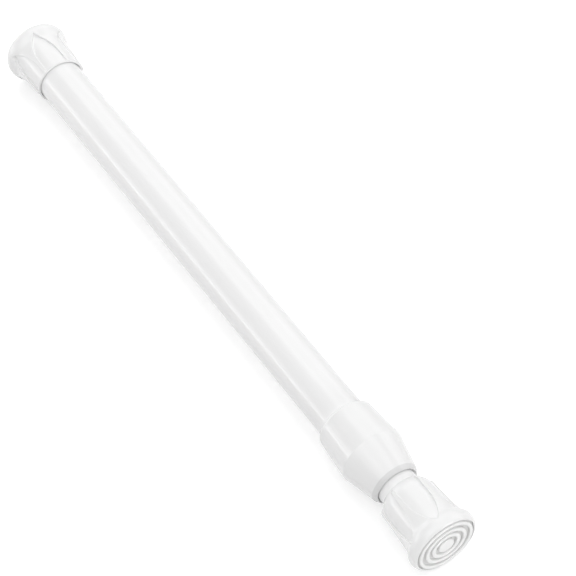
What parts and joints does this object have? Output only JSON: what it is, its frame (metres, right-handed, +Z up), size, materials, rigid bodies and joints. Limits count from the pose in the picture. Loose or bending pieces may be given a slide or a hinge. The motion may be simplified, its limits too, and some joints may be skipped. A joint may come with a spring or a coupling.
{
  "type": "spring tension rod",
  "caption": "Telescoping curtain rod that wedges between two walls: sliding tubes, cone collar, twist lock with inner spring, and petalled end caps with grooved rubber pads.",
  "frame": {"origin": "centre of the fixed end's pad face, where it presses on a wall", "axes": "+X along the rod towards the telescoping end, +Z up as the rod hangs between two walls"},
  "size_m": [0.2509, 0.023, 0.023],
  "materials": {
    "white_enamel": "gloss white enamel on thin steel tube",
    "cap_plastic": "smooth moulded white",
    "collar_plastic": "gloss moulded white",
    "pad_rubber": "soft white anti-slip rubber",
    "inner_nylon": "natural moulded",
    "lock_plastic": "dark moulded",
    "spring_steel": "drawn spring wire",
    "zinc_steel": "zinc plated"
  },
  "bodies": {
    "fixed_side": {"outer_tube": "white_enamel", "fixed_end_cap": "cap_plastic", "fixed_end_pad": "pad_rubber", "fixed_end_plug": "inner_nylon", "collar": "collar_plastic", "guide_bush": "inner_nylon"},
    "glide": {"glide_ring": "inner_nylon"},
    "sliding_side": {"inner_tube": "white_enamel", "end_bush": "inner_nylon", "bush_pins": "zinc_steel", "moving_end_cap": "cap_plastic", "moving_end_pad": "pad_rubber", "moving_end_plug": "inner_nylon", "spring": "spring_steel", "spring_stop": "inner_nylon"},
    "lock_spindle": {"spindle": "lock_plastic", "spring_seat": "inner_nylon", "seat_clip": "spring_steel", "cam_washer": "zinc_steel", "cam_screw": "zinc_steel"},
    "friction_ring": {"lock_ring": "lock_plastic"}
  },
  "joints": [
    {"name": "extension", "type": "slide", "parent": "fixed_side", "child": "glide", "axis": [1, 0, 0], "range_m": [0, 0.135]},
    {"name": "twist", "type": "hinge", "parent": "glide", "child": "sliding_side", "pos_m": [0.0632, 0, 0], "axis": [1, 0, 0], "range_deg": [-110, 110]},
    {"name": "spring_travel", "type": "slide", "parent": "sliding_side", "child": "lock_spindle", "axis": [1, 0, 0], "range_m": [0, 0.022], "stiffness_N_per_m": 1200, "springref_m": -0.004, "deforming": ["spring"]},
    {"name": "ring_turn", "type": "hinge", "parent": "lock_spindle", "child": "friction_ring", "pos_m": [0.0303, 0, 0.0005], "axis": [1, 0, 0], "range_deg": [-110, 110]}
  ],
  "couplings": [
    {"joint": "ring_turn", "follows": "twist", "ratio": -1}
  ]
}
